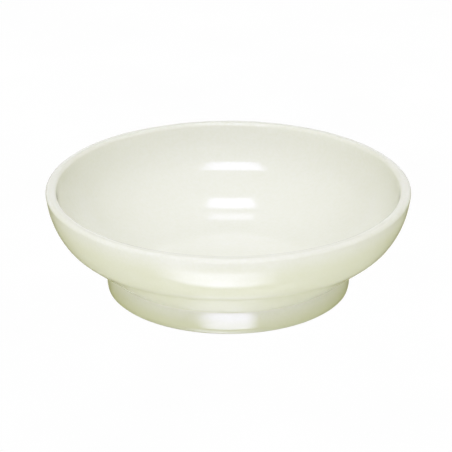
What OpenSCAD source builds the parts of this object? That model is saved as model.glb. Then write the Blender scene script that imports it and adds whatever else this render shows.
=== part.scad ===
// Footed evaporating dish of glazed porcelain, in millimetres.
// The origin is the centre of the foot's bearing face, and +Z runs up the axis of the dish.
// Every piece is a solid of revolution. An outline is a list of [radius, height] points, in
// which each round stretch is an arc. "Finished" means the outer face of the glaze.

/* [Overall] */
// Outer diameter of the rim
rim_d = 125; // [122:1:128]
// Overall height, from the bearing face to the top of the rim
dish_h = 36.8; // [36:0.1:38]

/* [Wall] */
// Thickness of the finished wall
wall_t = 3.7; // [3.4:0.1:4.2]
// Thickness of the finished floor at the axis
floor_t = 4.2; // [3.6:0.1:5]
// Steepness of the wall below the rim, in degrees above the horizontal
wall_angle = 80.6; // [79:0.1:82]
// Length of the straight wall below the rim
wall_straight = 2.6; // [2:0.1:3]
// Radius of the upper part of the bulge
bulge_r = 27; // [26:0.5:28]
// Steepness of the wall where the upper part of the bulge ends
bulge_angle = 54.5; // [52:0.5:58]
// Radius of the lower part of the bulge
belly_r = 14; // [12:0.5:16]
// Steepness of the conical lower wall
cone_angle = 39.2; // [38:0.1:40]
// Steepness of the inner wall where the bulge ends and the basin begins
basin_angle = 45; // [42:1:48]

/* [Rim] */
// Radius of the rim's outer corner
rim_outer_r = 1.3; // [1:0.05:1.5]
// Radius of the rim's inner corner
rim_inner_r = 1.4; // [1:0.05:1.6]

/* [Foot] */
// Diameter of the foot where it meets the bowl
foot_d = 84.5; // [83:0.1:86]
// Width of the clay ring that the foot is made of
foot_w = 5.6; // [5:0.1:5.8]
// Lean of the foot's two walls, in degrees
foot_draft = 2.8; // [1:0.1:4]
// Radius of the curve in which the foot's outer wall draws in towards the bench
foot_ease_r = 5.2; // [4.8:0.1:5.6]
// Lean that this curve reaches, in degrees
foot_ease_angle = 26; // [22:1:28]
// Radius of the outer edge below it
foot_edge_r = 0.5; // [0.4:0.05:0.6]
// Radius of the foot's inner lower edge
foot_inner_r = 1; // [0.6:0.05:1.4]
// Height of the recess inside the foot
recess_h = 2.8; // [2.6:0.1:3]
// Radius between the clay's conical wall and its flat underside
underside_r = 3; // [1:0.5:3]

/* [Glaze and slip] */
// Thickness of the glaze
glaze_t = 0.3; // [0.2:0.05:0.4]
// Height of the bare clay edge outside the foot, below the glaze
bare_h = 0.6; // [0.5:0.05:0.8]
// Height of the bare clay edge inside the foot
inner_bare_h = 1.7; // [1.6:0.05:1.9]
// Radius of the glaze that gathers in the corner between bowl and foot
outer_pool_r = 1.2; // [0.8:0.1:1.6]
// Radius of the glaze that gathers in the corner of the recess
inner_pool_r = 0.6; // [0.3:0.1:0.7]
// Thickness of the slip that joins the foot to the bowl
slip_t = 0.25; // [0.15:0.05:0.4]

/* [Hidden] */
$fn = 180;
// Largest turn between two neighbouring points on an arc, in degrees
arc_step = 2.5;

function direction(a) = [cos(a), sin(a)];
function arc(centre, r, a0, a1) =
    let (n = ceil(abs(a1 - a0) / arc_step))
    [for (i = [0:n]) centre + r * direction(a0 + (a1 - a0) * i / n)];
function reversed(points) = [for (i = [len(points) - 1:-1:0]) points[i]];
// Outward normal of a wall that rises outward at this steepness
function normal(steepness) = direction(steepness - 90);
// Where the line through p along d crosses the line through q along e
function crossing(p, d, q, e) =
    p + d * ((q[0] - p[0]) * e[1] - (q[1] - p[1]) * e[0]) / (d[0] * e[1] - d[1] * e[0]);
// Where the line through p along d reaches the height z
function at_height(p, d, z) = crossing(p, d, [0, z], [1, 0]);

// The bowl's outer wall. A depth is measured into it from the finished outer face.
rim_centre = [rim_d / 2 - rim_outer_r, dish_h - rim_outer_r];
wall_top = rim_centre + rim_outer_r * normal(wall_angle);
wall_foot = wall_top - wall_straight * direction(wall_angle);
bulge_centre = wall_foot - bulge_r * normal(wall_angle);
belly_centre = bulge_centre + (bulge_r - belly_r) * normal(bulge_angle);
function wall_arcs(depth) = concat(
    arc(bulge_centre, bulge_r - depth, wall_angle - 90, bulge_angle - 90),
    arc(belly_centre, belly_r - depth, bulge_angle - 90, cone_angle - 90));

// The cone under the bulge: a point on it at a depth, and the direction in which it rises
cone_rise = direction(cone_angle);
function cone_point(depth) = belly_centre + (belly_r - depth) * normal(cone_angle);

// The rim's two corners, with a flat land between them
rim_inner_centre = at_height(wall_top - (wall_t - rim_inner_r) * normal(wall_angle),
                             direction(wall_angle), dish_h - rim_inner_r);
function rim_outer(depth) = arc(rim_centre, rim_outer_r - depth, 90, wall_angle - 90);
function rim_inner(depth) = arc(rim_inner_centre, rim_inner_r - depth, 90, wall_angle + 90);

// The bowl's inner face at a depth below its glaze, from the rim to the axis: the inside of
// the bulge runs into a wide basin, which ends level with the flat floor
floor_z = recess_h + floor_t;
inner_bulge_r = bulge_r - wall_t;
basin_top = bulge_centre + inner_bulge_r * normal(basin_angle);
basin_r = (basin_top[1] - floor_z) / (1 - cos(basin_angle));
basin_centre = basin_top - basin_r * normal(basin_angle);
function inside(depth) = concat(
    rim_inner(depth),
    arc(bulge_centre, inner_bulge_r + depth, wall_angle - 90, basin_angle - 90),
    arc(basin_centre, basin_r + depth, basin_angle - 90, -90),
    [[0, floor_z - depth]]);

// The bowl's clay underside, from the cone to its flat middle
underside_z = recess_h + glaze_t;
underside_centre = at_height(cone_point(glaze_t + underside_r), cone_rise, underside_z + underside_r);
underside_arc = arc(underside_centre, underside_r, cone_angle - 90, -90);

// The clay foot: a point on each of its leaning walls, and the direction in which each rises
foot_out = crossing(cone_point(0), cone_rise, [foot_d / 2, 0], [0, 1]) - [glaze_t, 0];
foot_in = foot_out - [foot_w, 0];
out_rise = direction(90 - foot_draft);
in_rise = direction(90 + foot_draft);
out_normal = direction(-foot_draft);
in_normal = direction(180 + foot_draft);
foot_ease_z = foot_edge_r + (foot_ease_r - foot_edge_r) * sin(foot_ease_angle);
foot_ease_centre = at_height(foot_out - foot_ease_r * out_normal, out_rise, foot_ease_z);
foot_edge_centre = foot_ease_centre + (foot_ease_r - foot_edge_r) * direction(-foot_ease_angle);
foot_inner_centre = at_height(foot_in - foot_inner_r * in_normal, in_rise, foot_inner_r);

// The eased part of the foot's outer wall, made proud by this much, down to the glaze's edge
function glaze_end(proud) = -asin((foot_ease_z - bare_h) / (foot_ease_r + proud));
function eased_wall(proud) =
    arc(foot_ease_centre, foot_ease_r + proud, -foot_draft, glaze_end(proud));

// Where the foot's walls, made proud by this much, reach a height or the cone at a depth
function foot_out_at(z, proud) = at_height(foot_out + proud * out_normal, out_rise, z);
function foot_in_at(z, proud) = at_height(foot_in + proud * in_normal, in_rise, z);
function foot_out_on_cone(depth) = crossing(cone_point(depth), cone_rise, foot_out, out_rise);
function foot_in_on_cone(depth) = crossing(cone_point(depth), cone_rise, foot_in, in_rise);

// Depths of the bowl's clay face and of the foot's top face, with the slip between them
bowl_face = glaze_t;
foot_face = glaze_t - slip_t;

// The glaze's fillets in the corner under the bulge and in the corner of the recess
outer_pool_centre = crossing(cone_point(-outer_pool_r), cone_rise,
                             foot_out_at(0, glaze_t + outer_pool_r), out_rise);
inner_pool_centre = foot_in_at(recess_h - inner_pool_r, glaze_t + inner_pool_r);

module revolve(outline) {
    rotate_extrude() polygon(outline);
}

module bowl() {
    color([0.95, 0.94, 0.90]) revolve(concat(
        reversed(inside(glaze_t)),
        rim_outer(glaze_t),
        wall_arcs(glaze_t),
        underside_arc,
        [[0, underside_z]]));
}

module foot_ring() {
    color([0.92, 0.90, 0.84]) revolve(concat(
        [foot_in_on_cone(foot_face), foot_out_on_cone(foot_face)],
        eased_wall(0),
        arc(foot_ease_centre, foot_ease_r, glaze_end(0), -foot_ease_angle),
        arc(foot_edge_centre, foot_edge_r, -foot_ease_angle, -90),
        arc(foot_inner_centre, foot_inner_r, -90, foot_draft - 180)));
}

module luting_slip() {
    color([0.84, 0.81, 0.74]) revolve([
        foot_in_on_cone(bowl_face),
        foot_out_on_cone(bowl_face),
        foot_out_on_cone(foot_face),
        foot_in_on_cone(foot_face)]);
}

module glaze_inside() {
    color([0.94, 0.95, 0.91]) revolve(concat(inside(0), reversed(inside(glaze_t))));
}

module glaze_outside() {
    color([0.88, 0.89, 0.80]) revolve(concat(
        [[rim_inner_centre[0], dish_h - glaze_t], [rim_inner_centre[0], dish_h]],
        rim_outer(0),
        wall_arcs(0),
        arc(outer_pool_centre, outer_pool_r, cone_angle + 90, 180 - foot_draft),
        eased_wall(glaze_t),
        reversed(eased_wall(0)),
        [foot_out_on_cone(bowl_face)],
        reversed(wall_arcs(glaze_t)),
        reversed(rim_outer(glaze_t))));
}

module glaze_underside() {
    color([0.90, 0.91, 0.84]) revolve(concat(
        [[0, recess_h], [0, underside_z]],
        reversed(underside_arc),
        [foot_in_on_cone(bowl_face), foot_in_at(inner_bare_h, 0)],
        [foot_in_at(inner_bare_h, glaze_t)],
        arc(inner_pool_centre, inner_pool_r, foot_draft, 90)));
}

bowl();
foot_ring();
luting_slip();
glaze_inside();
glaze_outside();
glaze_underside();
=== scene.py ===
import math

import bpy
import numpy as np
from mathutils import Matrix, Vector


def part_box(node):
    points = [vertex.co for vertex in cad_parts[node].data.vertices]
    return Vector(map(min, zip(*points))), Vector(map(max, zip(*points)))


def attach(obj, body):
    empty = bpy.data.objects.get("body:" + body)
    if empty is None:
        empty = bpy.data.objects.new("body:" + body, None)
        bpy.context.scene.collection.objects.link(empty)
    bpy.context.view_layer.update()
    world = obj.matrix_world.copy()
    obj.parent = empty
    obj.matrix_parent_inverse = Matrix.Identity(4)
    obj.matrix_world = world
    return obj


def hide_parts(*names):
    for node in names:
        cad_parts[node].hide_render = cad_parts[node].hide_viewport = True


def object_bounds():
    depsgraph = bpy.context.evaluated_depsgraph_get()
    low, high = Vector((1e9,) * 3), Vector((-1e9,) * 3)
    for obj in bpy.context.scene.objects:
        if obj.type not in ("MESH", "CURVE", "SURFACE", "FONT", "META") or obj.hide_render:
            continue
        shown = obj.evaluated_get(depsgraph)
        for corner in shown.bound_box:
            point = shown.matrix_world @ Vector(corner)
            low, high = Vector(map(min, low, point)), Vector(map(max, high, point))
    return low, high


# A footed evaporating dish of glazed porcelain. Lengths are in metres, and +Z is the dish's axis.
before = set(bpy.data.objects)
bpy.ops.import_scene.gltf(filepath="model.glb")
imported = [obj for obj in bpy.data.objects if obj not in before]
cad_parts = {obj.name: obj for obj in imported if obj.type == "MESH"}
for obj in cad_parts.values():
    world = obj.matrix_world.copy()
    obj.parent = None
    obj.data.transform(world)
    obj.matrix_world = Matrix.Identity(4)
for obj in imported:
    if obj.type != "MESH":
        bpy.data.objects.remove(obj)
cad_low, cad_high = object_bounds()

MM = 0.001
SEGMENTS = 360

# ---------------------------------------------------------------- sizes that the frame gives
rim_r = cad_high.x
dish_h = cad_high.z
glaze_t = rim_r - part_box("bowl")[1].x
floor_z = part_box("glaze_inside")[0].z + glaze_t
underside_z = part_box("bowl")[0].z
recess_h = underside_z - glaze_t
bare_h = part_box("glaze_outside")[0].z
inner_bare_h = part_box("glaze_underside")[0].z
foot_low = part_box("foot_ring")[0].z
foot_out = np.array([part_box("foot_ring")[1].x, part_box("foot_ring")[1].z])
foot_in = np.array([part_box("glaze_underside")[1].x, inner_bare_h])

# ---------------------------------------------------------------- sizes of the curves between them
WALL_ANGLE = 80.6
BULGE_ANGLE = 54.5
BASIN_ANGLE = 45.0
CONE_ANGLE = 39.2
FOOT_DRAFT = 2.8
WALL_T = 3.7 * MM
WALL_STRAIGHT = 2.6 * MM
BULGE_R = 27.0 * MM
BELLY_R = 14.0 * MM
RIM_OUTER_R = 1.3 * MM
RIM_INNER_R = 1.4 * MM
UNDERSIDE_R = 3.0 * MM
FOOT_EASE_R = 5.2 * MM
FOOT_EASE_ANGLE = 26.0
FOOT_EDGE_R = 0.5 * MM
FOOT_INNER_R = 1.0 * MM
OUTER_POOL_R = 1.2 * MM
INNER_POOL_R = 0.6 * MM

# Depth of the clay foot's top face under the finished cone
FOOT_TOP_DEPTH = 0.05 * MM

# How far the glaze's lower edge wanders up and down the foot, and how deep its surface sinks
HEM_WANDER = 0.10 * MM
SINK = 0.08 * MM


# ---------------------------------------------------------------- outlines, as (radius, height) points
def direction(angle):
    return np.array([math.cos(math.radians(angle)), math.sin(math.radians(angle))])


def normal(steepness):
    return direction(steepness - 90)


def arc(centre, r, a0, a1, step=2.0):
    count = max(2, math.ceil(abs(a1 - a0) / step))
    return [centre + r * direction(a0 + (a1 - a0) * i / count) for i in range(count + 1)]


def line(a, b, step=1.2 * MM):
    """The points between a and b, without a and b themselves."""
    count = max(1, math.ceil(np.linalg.norm(b - a) / step))
    return [a + (b - a) * i / count for i in range(1, count)]


def crossing(p, d, q, e):
    across = (q[0] - p[0]) * e[1] - (q[1] - p[1]) * e[0]
    return p + d * across / (d[0] * e[1] - d[1] * e[0])


def at_height(p, d, z):
    return crossing(p, d, np.array([0, z]), np.array([1, 0]))


rim_centre = np.array([rim_r - RIM_OUTER_R, dish_h - RIM_OUTER_R])
wall_top = rim_centre + RIM_OUTER_R * normal(WALL_ANGLE)
wall_foot = wall_top - WALL_STRAIGHT * direction(WALL_ANGLE)
bulge_centre = wall_foot - BULGE_R * normal(WALL_ANGLE)
belly_centre = bulge_centre + (BULGE_R - BELLY_R) * normal(BULGE_ANGLE)
inner_bulge_r = BULGE_R - WALL_T
basin_top = bulge_centre + inner_bulge_r * normal(BASIN_ANGLE)
basin_r = (basin_top[1] - floor_z) / (1 - math.cos(math.radians(BASIN_ANGLE)))
basin_centre = basin_top - basin_r * normal(BASIN_ANGLE)
rim_inner_centre = at_height(
    wall_top - (WALL_T - RIM_INNER_R) * normal(WALL_ANGLE), direction(WALL_ANGLE), dish_h - RIM_INNER_R
)
cone_rise = direction(CONE_ANGLE)
out_rise = direction(90 - FOOT_DRAFT)
in_rise = direction(90 + FOOT_DRAFT)
out_normal = direction(-FOOT_DRAFT)
in_normal = direction(180 + FOOT_DRAFT)


def cone_point(depth):
    return belly_centre + (BELLY_R - depth) * normal(CONE_ANGLE)


def foot_out_at(z, proud):
    return at_height(foot_out + proud * out_normal, out_rise, z)


def foot_in_at(z, proud):
    return at_height(foot_in + proud * in_normal, in_rise, z)


foot_ease_z = FOOT_EDGE_R + (FOOT_EASE_R - FOOT_EDGE_R) * math.sin(math.radians(FOOT_EASE_ANGLE))
foot_ease_centre = at_height(foot_out - FOOT_EASE_R * out_normal, out_rise, foot_ease_z)
foot_edge_centre = foot_ease_centre + (FOOT_EASE_R - FOOT_EDGE_R) * direction(-FOOT_EASE_ANGLE)


def glaze_end(proud):
    return -math.degrees(math.asin((foot_ease_z - bare_h) / (FOOT_EASE_R + proud)))


def eased_wall(proud, end):
    return arc(foot_ease_centre, FOOT_EASE_R + proud, -FOOT_DRAFT, end)


def wall_arcs(depth):
    return arc(bulge_centre, BULGE_R - depth, WALL_ANGLE - 90, BULGE_ANGLE - 90, 1.0) + arc(
        belly_centre, BELLY_R - depth, BULGE_ANGLE - 90, CONE_ANGLE - 90, 1.0
    )


def inside(depth):
    """The bowl's inner face at a depth below its glaze, from the rim to the axis."""
    corner = arc(rim_inner_centre, RIM_INNER_R - depth, 90, WALL_ANGLE + 90, 5.0)
    bulge = arc(bulge_centre, inner_bulge_r + depth, WALL_ANGLE - 90, BASIN_ANGLE - 90, 1.0)
    basin = arc(basin_centre, basin_r + depth, BASIN_ANGLE - 90, -90, 1.0)
    middle = np.array([0.0, floor_z - depth])
    return corner + line(corner[-1], bulge[0]) + bulge + basin[1:] + line(basin[-1], middle) + [middle]


def outside(depth):
    """The bowl's outer face from the rim's land to the foot of the bulge."""
    corner = arc(rim_centre, RIM_OUTER_R - depth, 90, WALL_ANGLE - 90, 5.0)
    wall = wall_arcs(depth)
    return corner + line(corner[-1], wall[0]) + wall


# ---------------------------------------------------------------- the pieces' meshes
def smooth(t):
    t = np.clip(t, 0.0, 1.0)
    return t * t * (3.0 - 2.0 * t)


def lengths_along(points):
    steps = np.linalg.norm(np.diff(points, axis=0), axis=1)
    return np.concatenate([[0.0], np.cumsum(steps)])


def outward(points):
    """Unit normals of a closed outline that runs anticlockwise, with the solid on its left."""
    along = np.roll(points, -1, axis=0) - np.roll(points, 1, axis=0)
    along /= np.linalg.norm(along, axis=1)[:, None] + 1e-12
    return np.stack([along[:, 1], -along[:, 0]], axis=1)


def ripple(angle, s):
    """How far the glaze has sunk, from 0 to 1, at an angle round the dish and a length along its outline."""
    waves = (
        math.sin(3 * angle + 0.7) * np.cos(s / (11 * MM) + 0.4)
        + 0.8 * math.sin(5 * angle + 2.1) * np.cos(s / (7 * MM) + 1.9)
        + 0.6 * math.sin(8 * angle + 4.0) * np.cos(s / (9 * MM) + 5.2)
        + 0.5 * math.sin(13 * angle + 1.2) * np.cos(s / (5 * MM) + 3.3)
    )
    return 0.5 + waves / 5.8


def hem_wave(angle):
    """From -1 to 1: how the glaze's lower edge wanders up and down round the dish."""
    return (math.sin(2 * angle + 0.6) + 0.7 * math.sin(5 * angle) + 0.4 * math.sin(9 * angle)) / 2.1


# Length over which a piece's surface eases into its exact edge, and radius over which it does so at the axis
EDGE_FADE = 2 * MM
AXIS_FADE = 14 * MM


def lathe(name, face, back, sink=0.0, hem=0.0, thickness=None):
    """A closed solid of revolution between a finished face and the hidden face behind it. The finished
    face sinks unevenly by up to sink, and its end wanders up and down by up to hem."""
    outline = np.array(face + back)
    count = len(face)
    along = lengths_along(outline[:count])
    area = np.sum(outline[:, 0] * np.roll(outline[:, 1], -1) - np.roll(outline[:, 0], -1) * outline[:, 1])
    normals = outward(outline) * np.sign(area)
    free = np.zeros(len(outline))
    free[:count] = smooth(along / EDGE_FADE) * smooth((along[-1] - along) / EDGE_FADE)
    free *= smooth(outline[:, 0] / AXIS_FADE)
    s = np.zeros(len(outline))
    s[:count] = along
    skirt = np.zeros(len(outline))
    if hem:
        skirt = smooth(1 - np.linalg.norm(outline - outline[count - 1], axis=1) / EDGE_FADE)
    on_axis = outline[:, 0] < 1e-7

    vertices = []
    first = []
    for i, point in enumerate(outline):
        first.append(len(vertices))
        turns = 1 if on_axis[i] else SEGMENTS
        for k in range(turns):
            angle = 2 * math.pi * k / SEGMENTS
            r, z = point - normals[i] * sink * free[i] * ripple(angle, s[i])
            z += hem * skirt[i] * hem_wave(angle)
            vertices.append((r * math.cos(angle), r * math.sin(angle), z))
    faces = []
    for i in range(len(outline)):
        j = (i + 1) % len(outline)
        if on_axis[i] and on_axis[j]:
            continue
        for k in range(SEGMENTS):
            n = (k + 1) % SEGMENTS
            a, b, c, d = first[i] + k, first[i] + n, first[j] + n, first[j] + k
            if on_axis[i]:
                faces.append((first[i], c, d))
            elif on_axis[j]:
                faces.append((a, b, first[j]))
            else:
                faces.append((a, b, c, d))
    if area > 0:
        faces = [tuple(reversed(f)) for f in faces]

    mesh = bpy.data.meshes.new(name)
    mesh.from_pydata(vertices, [], faces)
    mesh.polygons.foreach_set("use_smooth", [True] * len(mesh.polygons))
    mesh.set_sharp_from_angle(angle=math.radians(40))
    if thickness:
        # The glaze's thickness, which on the outer coat also holds painted shade
        values = thickness(outline)
        layer = mesh.attributes.new("glaze_thickness_and_shade", "FLOAT", "POINT")
        per_vertex = []
        for i, value in enumerate(values):
            per_vertex += [value] * (1 if on_axis[i] else SEGMENTS)
        layer.data.foreach_set("value", per_vertex)
    mesh.update()
    piece = bpy.data.objects.new(name, mesh)
    bpy.context.scene.collection.objects.link(piece)
    return piece


# The corner between bowl and foot, and the seam between the two coats on the rim's land
crease = crossing(cone_point(0), cone_rise, foot_out + glaze_t * out_normal, out_rise)
rim_seam = np.array([rim_inner_centre[0], dish_h])


def thickness_and_shade_outside(points):
    """Glaze is thin over the rim and at the top of the foot, and has run down to the foot's lower edge. Its
    deeper colour is partly painted shade: on the outer walls below the rim, and most of all on the foot,
    which darkens towards the floor.
    """
    drained = smooth((dish_h - points[:, 1]) / (9 * MM))
    # Painted shade as well as run-down glaze: the foot's glaze darkens towards the floor
    run_and_shade_down_foot = smooth((crease[1] - points[:, 1]) / (crease[1] - bare_h))
    return np.where(points[:, 1] > crease[1], 0.55 * drained, 0.1 + 0.75 * run_and_shade_down_foot)


def thickness_inside(points):
    """Glaze is thin over the rim, and a little thicker towards the floor."""
    return 0.12 * smooth((dish_h - points[:, 1]) / (24 * MM))


def thickness_underside(points):
    to_corner = np.linalg.norm(points - np.array([foot_in[0] - glaze_t, recess_h]), axis=1)
    return np.clip(0.35 + 0.5 * np.exp(-to_corner / (1.2 * MM)), 0, 1)


def on_cone(foot_point, rise, depth):
    return crossing(cone_point(depth), cone_rise, foot_point, rise)


def build_glaze_inside():
    face = inside(0)
    back = list(reversed(inside(glaze_t)))
    return lathe("glaze_inside_coat", face, back, sink=SINK, thickness=thickness_inside)


def build_glaze_outside():
    pool_centre = crossing(
        cone_point(-OUTER_POOL_R), cone_rise, foot_out_at(0, glaze_t + OUTER_POOL_R), out_rise
    )
    pool = arc(pool_centre, OUTER_POOL_R, CONE_ANGLE + 90, 180 - FOOT_DRAFT, 6.0)
    wall = outside(0)
    end = glaze_end(glaze_t)
    eased = eased_wall(glaze_t, end)
    lip_centre = foot_ease_centre + (FOOT_EASE_R + glaze_t / 2) * direction(end)
    lip = arc(lip_centre, glaze_t / 2, end, end - 150, 15.0)
    face = [rim_seam] + wall + line(wall[-1], pool[0]) + pool + line(pool[-1], eased[0]) + eased + lip[1:]
    back = (
        list(reversed(eased_wall(0, end)))
        + [on_cone(foot_out, out_rise, glaze_t)]
        + list(reversed(wall_arcs(glaze_t)))
        + list(reversed(arc(rim_centre, RIM_OUTER_R - glaze_t, 90, WALL_ANGLE - 90, 8.0)))
        + [rim_seam - np.array([0, glaze_t])]
    )
    return lathe(
        "glaze_outside_coat", face, back, sink=SINK, hem=HEM_WANDER, thickness=thickness_and_shade_outside
    )


def build_glaze_underside():
    arc_centre = at_height(cone_point(glaze_t + UNDERSIDE_R), cone_rise, underside_z + UNDERSIDE_R)
    corner = arc(arc_centre, UNDERSIDE_R, CONE_ANGLE - 90, -90, 4.0)
    pool_centre = foot_in_at(recess_h - INNER_POOL_R, glaze_t + INNER_POOL_R)
    pool = arc(pool_centre, INNER_POOL_R, 90, FOOT_DRAFT, 8.0)
    middle = np.array([0.0, recess_h])
    face = [middle] + line(middle, pool[0]) + pool + [foot_in_at(inner_bare_h, glaze_t)]
    clay_wall = [foot_in_at(inner_bare_h, 0), on_cone(foot_in, in_rise, glaze_t)]
    back = clay_wall + corner + [np.array([0.0, underside_z])]
    return lathe("glaze_underside_coat", face, back, sink=SINK, thickness=thickness_underside)


def build_foot():
    inner_centre = at_height(foot_in - FOOT_INNER_R * in_normal, in_rise, foot_low + FOOT_INNER_R)
    outer_wall = eased_wall(0, -FOOT_EASE_ANGLE)
    outer_edge = arc(foot_edge_centre, FOOT_EDGE_R, -FOOT_EASE_ANGLE, -90, 8.0)
    inner_edge = arc(inner_centre, FOOT_INNER_R, -90, FOOT_DRAFT - 180, 6.0)
    top_out = on_cone(foot_out, out_rise, FOOT_TOP_DEPTH)
    top_in = on_cone(foot_in, in_rise, FOOT_TOP_DEPTH)
    face = [top_out] + line(top_out, outer_wall[0]) + outer_wall + outer_edge[1:]
    face += line(outer_edge[-1], inner_edge[0], 0.5 * MM) + inner_edge
    face += line(inner_edge[-1], top_in) + [top_in]
    return lathe("foot_ring_clay", face, [])


# ---------------------------------------------------------------- materials
class Nodes:
    """A short way to add shader nodes to one material."""

    def __init__(self, name):
        self.material = bpy.data.materials.new(name)
        self.material.use_nodes = True
        self.tree = self.material.node_tree
        self.tree.nodes.clear()
        self.output = self.add("ShaderNodeOutputMaterial")
        self.shader = self.add("ShaderNodeBsdfPrincipled")
        self.link(self.shader, "BSDF", self.output, "Surface")
        self.place = self.add("ShaderNodeTexCoord")

    def add(self, kind, **values):
        node = self.tree.nodes.new(kind)
        for key, value in values.items():
            setattr(node, key, value)
        return node

    def link(self, source, output, target, socket):
        self.tree.links.new(source.outputs[output], target.inputs[socket])

    def noise(self, size, detail=2.0, roughness=0.5):
        """Noise with features of about this size, in metres."""
        node = self.add("ShaderNodeTexNoise")
        node.inputs["Scale"].default_value = 1.0 / size
        node.inputs["Detail"].default_value = detail
        node.inputs["Roughness"].default_value = roughness
        self.link(self.place, "Object", node, "Vector")
        return node

    def spread(self, source, output, low, high, from_low=0.3, from_high=0.7):
        node = self.add("ShaderNodeMapRange")
        node.inputs["From Min"].default_value = from_low
        node.inputs["From Max"].default_value = from_high
        node.inputs["To Min"].default_value = low
        node.inputs["To Max"].default_value = high
        self.link(source, output, node, "Value")
        return node

    def mix(self, factor, factor_output, a, b):
        """A colour between a and b. Each is a colour, or a node that gives one."""
        node = self.add("ShaderNodeMix", data_type="RGBA")
        self.tree.links.new(factor.outputs[factor_output], node.inputs["Factor"])
        for value, socket in ((a, node.inputs[6]), (b, node.inputs[7])):
            if isinstance(value, tuple):
                socket.default_value = (*value, 1.0)
            else:
                self.tree.links.new(value.outputs[2], socket)
        return node

    def bump(self, source, output, height, before=None):
        """A bump of this height, in metres, on top of another one."""
        node = self.add("ShaderNodeBump")
        node.inputs["Strength"].default_value = 1.0
        node.inputs["Distance"].default_value = height
        self.link(source, output, node, "Height")
        if before:
            self.link(before, "Normal", node, "Normal")
        return node

    def specks(self, size, share):
        """1 in round specks of about this size, on this share of the cells, and 0 elsewhere."""
        cells = self.add("ShaderNodeTexVoronoi")
        cells.inputs["Scale"].default_value = 0.2 / size
        self.link(self.place, "Object", cells, "Vector")
        dot = self.spread(cells, "Distance", 1.0, 0.0, 0.05, 0.12)
        chosen = self.spread(cells, "Color", 0.0, 1.0, 1.0 - share, 1.0 - share + 0.01)
        both = self.add("ShaderNodeMath", operation="MULTIPLY")
        self.tree.links.new(dot.outputs[0], both.inputs[0])
        self.tree.links.new(chosen.outputs[0], both.inputs[1])
        return both


def glaze(name, thin, thick_and_shade):
    """Clear, slightly olive glaze over white porcelain, deeper in colour where it has gathered, and on the
    outer coat also deeper where shade is painted into it.
    """
    m = Nodes(name)
    m.shader.inputs["IOR"].default_value = 1.5
    # On the outer coat this mask also carries painted shade, darker towards the floor
    depth = m.add("ShaderNodeAttribute", attribute_name="glaze_thickness_and_shade")
    body = m.mix(depth, "Fac", thin, thick_and_shade)
    cloud = m.spread(m.noise(16 * MM, 3.0), "Fac", 0.0, 1.0)
    paler = tuple(min(1.0, 1.012 * c) for c in thin)
    clouded = m.mix(m.spread(cloud, 0, 0.0, 0.22, 0.0, 1.0), 0, body, paler)
    fine = m.spread(m.noise(1.1 * MM, 4.0), "Fac", 0.0, 0.12)
    mottled = m.mix(fine, 0, clouded, tuple(0.93 * c for c in thick_and_shade))
    speck = m.specks(0.22 * MM, 0.012)
    faint = m.spread(speck, 0, 0.0, 0.45, 0.0, 1.0)
    spotted = m.mix(faint, 0, mottled, (0.46, 0.42, 0.33))
    m.link(spotted, 2, m.shader, "Base Color")
    sheen = m.spread(m.noise(5 * MM, 3.0), "Fac", 0.045, 0.085)
    m.link(sheen, 0, m.shader, "Roughness")
    skin = m.bump(m.noise(2.2 * MM, 1.0), "Fac", 0.004 * MM)
    pits = m.bump(m.noise(0.7 * MM, 2.0), "Fac", 0.0012 * MM, skin)
    m.link(pits, "Normal", m.shader, "Normal")
    return m.material


def clay(name, colour, shade, roughness):
    """Bare fired porcelain: close-grained and dull, with the fine sand it stood on in the kiln."""
    m = Nodes(name)
    m.shader.inputs["IOR"].default_value = 1.5
    grain = m.noise(0.35 * MM, 4.0, 0.65)
    patch = m.spread(m.noise(6 * MM, 3.0), "Fac", 0.0, 0.7)
    toned = m.mix(patch, 0, colour, shade)
    grained = m.mix(m.spread(grain, "Fac", 0.0, 0.35), 0, toned, tuple(0.8 * c for c in shade))
    sand = m.spread(m.specks(0.16 * MM, 0.10), 0, 0.0, 0.6, 0.0, 1.0)
    m.link(m.mix(sand, 0, grained, (0.30, 0.26, 0.20)), 2, m.shader, "Base Color")
    m.link(m.spread(grain, "Fac", roughness - 0.06, roughness + 0.08), 0, m.shader, "Roughness")
    rough = m.bump(grain, "Fac", 0.012 * MM)
    m.link(rough, "Normal", m.shader, "Normal")
    return m.material


THIN_GLAZE = (0.905, 0.907, 0.868)
# Colour of gathered glaze, which on the outer coat also serves as painted shade
THICK_GLAZE_AND_SHADE = (0.77, 0.79, 0.560)

inside_glaze = glaze("glaze_inside_material", THIN_GLAZE, THICK_GLAZE_AND_SHADE)
outside_glaze = glaze("glaze_outside_material", THIN_GLAZE, THICK_GLAZE_AND_SHADE)
underside_glaze = glaze("glaze_underside_material", THIN_GLAZE, THICK_GLAZE_AND_SHADE)
foot_clay = clay("bare_clay_material", (0.80, 0.79, 0.68), (0.74, 0.72, 0.60), 0.42)
body_clay = clay("clay_body_material", (0.86, 0.85, 0.79), (0.82, 0.80, 0.73), 0.7)
slip_clay = clay("slip_material", (0.80, 0.77, 0.68), (0.75, 0.71, 0.61), 0.75)

for piece, material, node, slot in (
    (build_glaze_inside(), inside_glaze, "glaze_inside", "glaze_inside"),
    (build_glaze_outside(), outside_glaze, "glaze_outside", "glaze_outside"),
    (build_glaze_underside(), underside_glaze, "glaze_underside", "glaze_underside"),
    (build_foot(), foot_clay, "foot_ring", "bare_clay"),
):
    piece.data.materials.append(material)
    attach(piece, "root")
    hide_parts(node)

for node, material in (("bowl", body_clay), ("luting_slip", slip_clay)):
    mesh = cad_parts[node].data
    mesh.materials.clear()
    mesh.materials.append(material)


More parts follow.
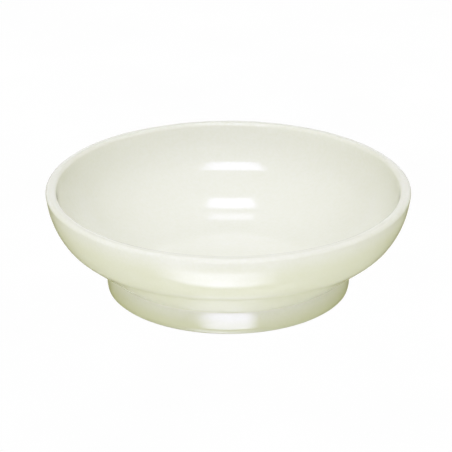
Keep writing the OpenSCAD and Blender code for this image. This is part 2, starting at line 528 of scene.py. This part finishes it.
# ---------------------------------------------------------------- floor
def floor_plane(name, depth):
    """A square plane this far below the foot's bearing face."""
    half = 6.0
    mesh = bpy.data.meshes.new(name)
    corners = [(-half, -half, 0), (half, -half, 0), (half, half, 0), (-half, half, 0)]
    mesh.from_pydata(corners, [], [(0, 1, 2, 3)])
    plane = bpy.data.objects.new(name, mesh)
    bpy.context.scene.collection.objects.link(plane)
    plane.location.z = cad_low.z - depth
    plane.visible_glossy = False
    return plane


def build_floor():
    """The lit table that throws light up at the dish. The camera doesn't see it."""
    floor = floor_plane("floor", 0.02 * MM)
    m = Nodes("floor_material")
    paper = m.spread(m.noise(40 * MM, 2.0), "Fac", 0.0, 1.0)
    m.link(m.mix(paper, 0, (0.955, 0.955, 0.95), (0.965, 0.965, 0.96)), 2, m.shader, "Base Color")
    m.shader.inputs["Emission Color"].default_value = (1.0, 1.0, 1.2, 1.0)
    m.shader.inputs["Emission Strength"].default_value = 0.13
    m.shader.inputs["Roughness"].default_value = 0.9
    m.shader.inputs["Specular IOR Level"].default_value = 0.0
    floor.data.materials.append(m.material)
    floor.visible_camera = False


def build_white_sheet():
    """The plain white ground that the camera sees, without a shadow."""
    sheet = floor_plane("white_sheet", 0.04 * MM)
    m = Nodes("white_sheet_material")
    glow = m.add("ShaderNodeEmission")
    cloud = m.spread(m.noise(60 * MM), "Fac", 0.0, 1.0)
    m.link(m.mix(cloud, 0, (0.99, 0.99, 0.99), (1.0, 1.0, 1.0)), 2, glow, "Color")
    m.link(glow, "Emission", m.output, "Surface")
    m.tree.nodes.remove(m.shader)
    sheet.data.materials.append(m.material)
    sheet.visible_diffuse = False
    sheet.visible_shadow = False


build_floor()
build_white_sheet()


# ---------------------------------------------------------------- light
def area_light(name, place, aim, width, depth, radiance, colour):
    """A soft box that lights surfaces, but isn't seen in their gloss."""
    lamp = bpy.data.lights.new(name, "AREA")
    lamp.shape = "RECTANGLE"
    lamp.size = width
    lamp.size_y = depth
    lamp.color = colour
    lamp.energy = 4.0 * width * depth * radiance
    light = bpy.data.objects.new(name, lamp)
    light.location = place
    light.rotation_euler = (Vector(aim) - Vector(place)).to_track_quat("-Z", "Y").to_euler()
    light.visible_camera = False
    light.visible_glossy = False
    bpy.context.scene.collection.objects.link(light)


# The cards are bluish, so that the highlights come out neutral on the olive glaze
CARD_COLOUR = (1.0, 0.97, 1.5, 1.0)


def gloss_only(name, centre, across, up, material):
    """A flat rectangle that only the gloss sees. across and up are its sides as vectors."""
    centre, across, up = Vector(centre), Vector(across), Vector(up)
    shares = ((0, 0), (1, 0), (1, 1), (0, 1))
    mesh = bpy.data.meshes.new(name)
    mesh.from_pydata([centre + (i - 0.5) * across + (j - 0.5) * up for i, j in shares], [], [(0, 1, 2, 3)])
    layer = mesh.uv_layers.new(name="card")
    for loop, share in zip(layer.data, shares):
        loop.uv = share
    mesh.materials.append(material)
    flat = bpy.data.objects.new(name, mesh)
    bpy.context.scene.collection.objects.link(flat)
    flat.visible_camera = False
    flat.visible_diffuse = False
    flat.visible_shadow = False
    return flat


def soft_card(name, centre, across, up, radiance, edges):
    """A glowing board with soft edges, to put a highlight in the gloss. edges are the shares of its
    width and height over which it fades, on its left, right, lower and upper side."""
    material = bpy.data.materials.new(name + "_material")
    material.use_nodes = True
    tree = material.node_tree
    tree.nodes.clear()
    output = tree.nodes.new("ShaderNodeOutputMaterial")
    glow = tree.nodes.new("ShaderNodeEmission")
    place = tree.nodes.new("ShaderNodeTexCoord")
    split = tree.nodes.new("ShaderNodeSeparateXYZ")
    tree.links.new(place.outputs["UV"], split.inputs[0])
    level = None
    for axis, low, high in (
        ("X", 0.0, edges[0]),
        ("X", 1.0, 1.0 - edges[1]),
        ("Y", 0.0, edges[2]),
        ("Y", 1.0, 1.0 - edges[3]),
    ):
        fade = tree.nodes.new("ShaderNodeMapRange")
        fade.interpolation_type = "SMOOTHSTEP"
        fade.inputs["From Min"].default_value = low
        fade.inputs["From Max"].default_value = high
        tree.links.new(split.outputs[axis], fade.inputs["Value"])
        if level is None:
            fade.inputs["To Max"].default_value = radiance
            level = fade.outputs[0]
        else:
            both = tree.nodes.new("ShaderNodeMath")
            both.operation = "MULTIPLY"
            tree.links.new(level, both.inputs[0])
            tree.links.new(fade.outputs[0], both.inputs[1])
            level = both.outputs[0]
    tree.links.new(level, glow.inputs["Strength"])
    glow.inputs["Color"].default_value = CARD_COLOUR
    clear = tree.nodes.new("ShaderNodeBsdfTransparent")
    sum_of_both = tree.nodes.new("ShaderNodeAddShader")
    tree.links.new(glow.outputs[0], sum_of_both.inputs[0])
    tree.links.new(clear.outputs[0], sum_of_both.inputs[1])
    tree.links.new(sum_of_both.outputs[0], output.inputs["Surface"])
    card = gloss_only(name, centre, across, up, material)


def flag(name, centre, across, up, colour):
    """A dull board that keeps the cards' light off part of the gloss."""
    m = Nodes(name + "_material")
    glow = m.add("ShaderNodeEmission")
    glow.inputs["Color"].default_value = (*colour, 1.0)
    m.link(glow, "Emission", m.output, "Surface")
    m.tree.nodes.remove(m.shader)
    board = gloss_only(name, centre, across, up, m.material)


area_light("overhead", (0, 0, 1.6), (0, 0, 0), 3.0, 3.0, 0.38, (1.0, 1.0, 1.25))
area_light("softbox", (0, -0.6, 0.9), (0, 0, 0.02), 0.6, 1.2, 1.93, (1.0, 1.0, 1.27))
area_light("left", (-0.45, -0.6, 0.7), (0, 0, 0.02), 0.5, 0.9, 0.22, (1.0, 1.0, 1.9))
area_light("low_left", (-1.4, 0, 0.35), (0, 0, 0.02), 1.0, 0.7, 0.29, (1.0, 1.0, 0.35))

# Each card is placed so that the dish's own surface mirrors it where a highlight belongs
soft_card("card_back_wall", (-0.032, -0.33, 0.6), (0.465, 0, 0), (0, 0.27, 0), 3.8, (0.2, 0.27, 0.18, 0.18))
soft_card("card_floor_far", (-0.008, 0.142, 0.6), (0.195, 0, 0), (0, 0.145, 0), 3.4, (0.2, 0.2, 0.2, 0.2))
soft_card("card_floor_near", (-0.006, 0.32, 0.6), (0.142, 0, 0), (0, 0.125, 0), 1.8, (0.12, 0.16, 0.2, 0.25))
soft_card("card_bulge", (-0.095, -0.435, -0.69), (1.18, 0, 0), (0, -0.35, 0.52), 4.1, (0.5, 0.45, 0.33, 0.3))
soft_card("card_foot", (-0.045, -0.6, -0.328), (0.80, 0, 0), (0, 0, 0.156), 6.4, (0.45, 0.24, 0.22, 0.25))

# The first fills the dark line at the foot of the bulge, and the second lightens the dish's outermost edges
soft_card("card_belly", (0, -0.021, -0.2), (0.14, 0, 0), (0, 0, 0.33), 0.8, (0.4, 0.4, 0.3, 0.2))
soft_card("card_sweep", (0, 1.6, 0.2), (5, 0, 0), (0, 0, 1.6), 0.5, (0.1, 0.1, 0.3, 0.25))

# The first keeps the upper cards out of the rim's front corner, and the second keeps the lower cards
# out of the back of the bowl
flag("flag_rim", (0, -0.067, 0.060), (0.15, 0, 0), (0, 0.056, 0), (0.1, 0.1, 0.05))
flag("flag_under", (0, -0.02, -0.19), (1.6, 0, 0), (0, 0, 0.34), (0.3, 0.3, 0.15))

# This pair keeps the lower cards out of the dish's outermost edges, as they are seen from behind. It is
# about as bright as the room, so that it doesn't show from the front
for name, side in (("flag_side_left", -1), ("flag_side_right", 1)):
    flag(name, (side * 0.0665, -0.03, -0.02), (0.045, 0, 0), (0, 0, 0.08), (0.31, 0.31, 0.108))


# The room's light from behind the dish, from in front of it and from straight below
ROOM_BACK = (0.275, 0.275, 0.096)
ROOM_FRONT = (0.36, 0.36, 0.126)
TABLE = (0.90, 0.90, 0.75)


def build_world():
    """A dim olive room, lighter in front, and straight below it the bright table that the gloss mirrors."""
    world = bpy.data.worlds.new("studio")
    bpy.context.scene.world = world
    world.use_nodes = True
    tree = world.node_tree
    tree.nodes.clear()
    output = tree.nodes.new("ShaderNodeOutputWorld")
    background = tree.nodes.new("ShaderNodeBackground")
    place = tree.nodes.new("ShaderNodeTexCoord")
    split = tree.nodes.new("ShaderNodeSeparateXYZ")
    tree.links.new(place.outputs["Generated"], split.inputs[0])
    colour = ROOM_BACK
    for axis, low, high, target in (("Y", 1.0, -1.0, ROOM_FRONT), ("Z", -0.82, -1.0, TABLE)):
        share = tree.nodes.new("ShaderNodeMapRange")
        share.interpolation_type = "SMOOTHSTEP" if axis == "Z" else "LINEAR"
        share.inputs["From Min"].default_value = low
        share.inputs["From Max"].default_value = high
        tree.links.new(split.outputs[axis], share.inputs["Value"])
        mix = tree.nodes.new("ShaderNodeMix")
        mix.data_type = "RGBA"
        tree.links.new(share.outputs[0], mix.inputs[0])
        if isinstance(colour, tuple):
            mix.inputs[6].default_value = (*colour, 1.0)
        else:
            tree.links.new(colour, mix.inputs[6])
        mix.inputs[7].default_value = (*target, 1.0)
        colour = mix.outputs[2]
    tree.links.new(colour, background.inputs["Color"])
    tree.links.new(background.outputs[0], output.inputs[0])


build_world()

# ---------------------------------------------------------------- camera
CAMERA_DISTANCE = 0.9
CAMERA_ELEVATION = math.radians(23.62)
CAMERA_LENS = 207.6
CAMERA_AIM = (-0.78 * MM, 0, 21.6 * MM)
PIVOT_HEIGHT = 17 * MM
camera_data = bpy.data.cameras.new("camera")
camera_data.lens = CAMERA_LENS
camera_data.sensor_width = 36.0
camera = bpy.data.objects.new("camera", camera_data)
camera.location = (
    0,
    -CAMERA_DISTANCE * math.cos(CAMERA_ELEVATION),
    PIVOT_HEIGHT + CAMERA_DISTANCE * math.sin(CAMERA_ELEVATION),
)
camera.rotation_euler = (Vector(CAMERA_AIM) - camera.location).to_track_quat("-Z", "Y").to_euler()
bpy.context.scene.collection.objects.link(camera)
bpy.context.scene.camera = camera
bpy.context.scene.view_settings.view_transform = "Standard"

bpy.context.view_layer.update()
